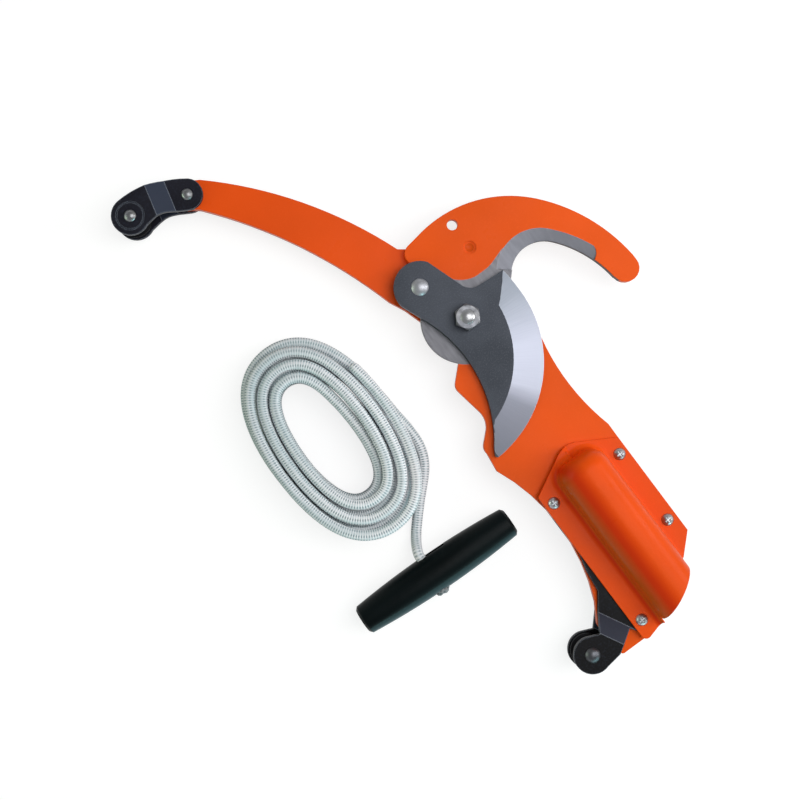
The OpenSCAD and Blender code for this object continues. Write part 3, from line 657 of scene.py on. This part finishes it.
def tube(name, line, radius, sides, material):
    """Mesh tube along a line, with a rounded far end, mapped by the length along it and the way round."""
    verts = []
    faces = []
    uvs = []
    side = Vector((0, 0, 1))
    run = 0.0
    runs = []
    rings = [(p, 1.0) for p in line]
    last = (line[-1] - line[-2]).normalized()
    rings += [(line[-1] + last * radius * math.sin(a), math.cos(a)) for a in END_ANGLES]
    for i, (p, scale) in enumerate(rings):
        ahead = (rings[min(i + 1, len(rings) - 1)][0] - rings[max(i - 1, 0)][0]).normalized()
        side = (side - ahead * side.dot(ahead)).normalized()
        up = ahead.cross(side)
        if i:
            run += (p - rings[i - 1][0]).length
        runs.append(run * MM)
        for k in range(sides):
            a = FULL_TURN * k / sides
            verts.append((p + (side * math.cos(a) + up * math.sin(a)) * radius * scale) * MM)
    for i in range(len(rings) - 1):
        for k in range(sides):
            m = (k + 1) % sides
            faces.append((i * sides + k, i * sides + m, (i + 1) * sides + m, (i + 1) * sides + k))
            way = (k / sides, (k + 1) / sides)
            uvs += [(runs[i], way[0]), (runs[i], way[1]), (runs[i + 1], way[1]), (runs[i + 1], way[0])]
    top = (len(rings) - 1) * sides
    faces += [tuple(range(sides - 1, -1, -1)), tuple(top + k for k in range(sides))]
    uvs += [(0, 0)] * sides + [(runs[-1], 0)] * sides
    mesh = bpy.data.meshes.new(name)
    mesh.from_pydata(verts, [], faces)
    layer = mesh.uv_layers.new(name="rope")
    for item, uv in zip(layer.data, uvs):
        item.uv = uv
    mesh.polygons.foreach_set("use_smooth", [True] * len(mesh.polygons))
    mesh.materials.append(material)
    made = bpy.data.objects.new(name, mesh)
    bpy.context.scene.collection.objects.link(made)
    return made


def knot_line():
    """Centre line of the stopper knot's strand, wound round itself in the handle's seat, in millimetres."""
    middle = in_handle(ROPE_HOLE_X, -KNOT_SEAT - KNOT_BACK)
    x = Vector((math.cos(HANDLE_TILT), math.sin(HANDLE_TILT), 0))
    y = Vector((-math.sin(HANDLE_TILT), math.cos(HANDLE_TILT), 0))
    z = Vector((0, 0, 1))
    line = []
    for i in range(KNOT_POINTS + 1):
        a = FULL_TURN * i / KNOT_POINTS
        out = KNOT_R + KNOT_WAVE * math.cos(KNOT_WAVES * a)
        turned = middle + x * out * math.cos(KNOT_TURNS * a) + z * out * math.sin(KNOT_TURNS * a)
        line.append(turned + y * KNOT_HALF_DEEP * math.sin(KNOT_WAVES * a))
    return line


def make_rope():
    line = rope_line()
    rope = tube("pull_rope", line, ROPE_D / 2, ROPE_SIDES, rope_braid("rope_braid"))
    knot = tube("rope_stopper", knot_line(), KNOT_STRAND_R, KNOT_SIDES, rope_braid("knot_braid", pale=0.3))
    for piece in (rope, knot):
        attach(piece, "rope_set")
    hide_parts("rope_coil", "rope_tail")
    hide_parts("rope_knot")


# Floor, world and lamps


def background_rays(tree):
    """The camera's own rays, and all that show the background: those, and mirrored or bent ones."""
    rays = put(tree, "ShaderNodeLightPath").outputs
    own = rays["Is Camera Ray"]
    return own, largest(tree, own, rays["Is Glossy Ray"], rays["Is Transmission Ray"])


def make_floor():
    bpy.ops.mesh.primitive_plane_add(size=FLOOR_SIZE, location=(*FLOOR_AT, GROUND - FLOOR_GAP))
    floor = bpy.context.object
    floor.name = "floor"
    made = bpy.data.materials.new("floor")
    made.use_nodes = True
    tree = made.node_tree
    tree.nodes.clear()
    strength = calc(tree, "MULTIPLY", background_rays(tree)[1], FLOOR_GLOW)
    glow = put(tree, "ShaderNodeEmission", {"Color": (1, 1, 1, 1), "Strength": strength})
    soft = put(tree, "ShaderNodeBsdfDiffuse", {"Color": (FLOOR_GREY, FLOOR_GREY, FLOOR_GREY, 1)})
    both = put(tree, "ShaderNodeAddShader", {0: glow.outputs[0], 1: soft.outputs[0]})
    put(tree, "ShaderNodeOutputMaterial", {"Surface": both.outputs[0]})
    floor.data.materials.append(made)


def make_world():
    """White to the camera, darker overhead in reflections, and dim as a light."""
    world = bpy.data.worlds.new("studio")
    bpy.context.scene.world = world
    world.use_nodes = True
    tree = world.node_tree
    own, seen = background_rays(tree)
    high = split(tree, put(tree, "ShaderNodeTexCoord").outputs["Generated"])[2]
    mirrored = spread(tree, high, 0.05, 0.5, 1.0, WORLD_OVERHEAD)
    shown = level(tree, own, mirrored, 1.0)
    background = tree.nodes["Background"]
    background.inputs["Color"].default_value = (1, 1, 1, 1)
    link(tree, background, Strength=level(tree, seen, WORLD_LIGHT, shown))


def make_lamp(name, right, up, high, size, power, colour=(1, 1, 1)):
    data = bpy.data.lights.new(name, "AREA")
    data.shape = "RECTANGLE"
    data.size, data.size_y = size
    data.energy = power
    data.color = colour
    lamp = bpy.data.objects.new(name, data)
    lamp.location = MIDDLE + IMAGE_RIGHT * right + IMAGE_UP * up + Vector((0, 0, high))
    lamp.rotation_euler = (MIDDLE - lamp.location).to_track_quat("-Z", "Y").to_euler()
    bpy.context.scene.collection.objects.link(lamp)


def dress(names, material):
    for name in names:
        nodes[name].data.materials.clear()
        nodes[name].data.materials.append(material)


bpy.context.scene.view_settings.view_transform = "Standard"
make_camera()
make_rope()
make_floor()
make_world()
make_lamp("key", right=0.36, up=0.12, high=0.86, size=(0.8, 0.8), power=5.5)
make_lamp("right_side", right=0.90, up=0.15, high=0.42, size=(0.5, 0.3), power=2.6)
make_lamp("left_low", right=-0.90, up=-0.10, high=0.20, size=(0.6, 0.15), power=1.5, colour=(0.8, 1.0, 0.7))
make_lamp("low_strip", right=0.50, up=-0.75, high=0.12, size=(0.7, 0.14), power=2.2, colour=(0.45, 1.0, 1.0))

dress(["main_plate"], orange_paint("plate_paint", linear(246, 90, 14), bare=plate_bare))
# The cover's sides carry painted shade on the shoulder and painted light on the wall
dress(["socket_cover"],
      orange_paint("cover_paint", linear(244, 84, 16), sides=(COVER_SHOULDER_PAINTED_SHADE, COVER_WALL_PAINTED_LIGHT), worn=0.15))
dress(["lever_arm"], orange_paint("arm_paint", linear(248, 88, 22)))
# The post's end paint is a little darker than the plate's, as painted shade in its recess; its dish is a
# bump
dress(["spring_post"], orange_paint("post_paint", linear(228, 84, 20), dish=POST_AT))
dress(["blade"], blade_steel("blade_steel"))
dress(["arm_bracket_front", "arm_bracket_rear"],
      dark_paint("bracket_paint", linear(33, 33, 42), pale=linear(56, 63, 79)))
dress(["lower_bracket_front", "lower_bracket_rear"],
      dark_paint("low_bracket_paint", linear(12, 12, 15), pale=linear(50, 54, 68)))
dress(["cover_screws", "cover_nuts", "pivot_bolt", "spring_bush"], plated("zinc", linear(172, 174, 179)))
dress(["pivot_nut"], plated("nut_zinc", linear(118, 120, 126)))
dress(["blade_rivet", "rivet_spacer"], plated("rivet_zinc", linear(176, 178, 184), rough=0.46))
dress(["arm_bracket_rivet", "arm_pulley_axle"], plated("axle_zinc", linear(136, 138, 142), rough=0.34))
dress(["lower_pulley_axle"], plated("dark_zinc", linear(92, 94, 99), rough=0.42))
dress(["return_spring"], plated("spring_wire", linear(150, 151, 155), rough=0.28))
dress(["arm_pulley", "lower_pulley"],
      moulded("pulley_black", linear(14, 14, 17), pale=linear(22, 22, 26), rough=0.42))
# The handle carries a painted teal highlight along its lower side
dress(["pull_handle"],
      moulded("handle_black", linear(3, 9, 10), pale=linear(7, 16, 18), rough=0.36, gloss=0.09,
              painted_highlight=(HANDLE_HIGHLIGHT_SIDE, HANDLE_PAINTED_HIGHLIGHT)))
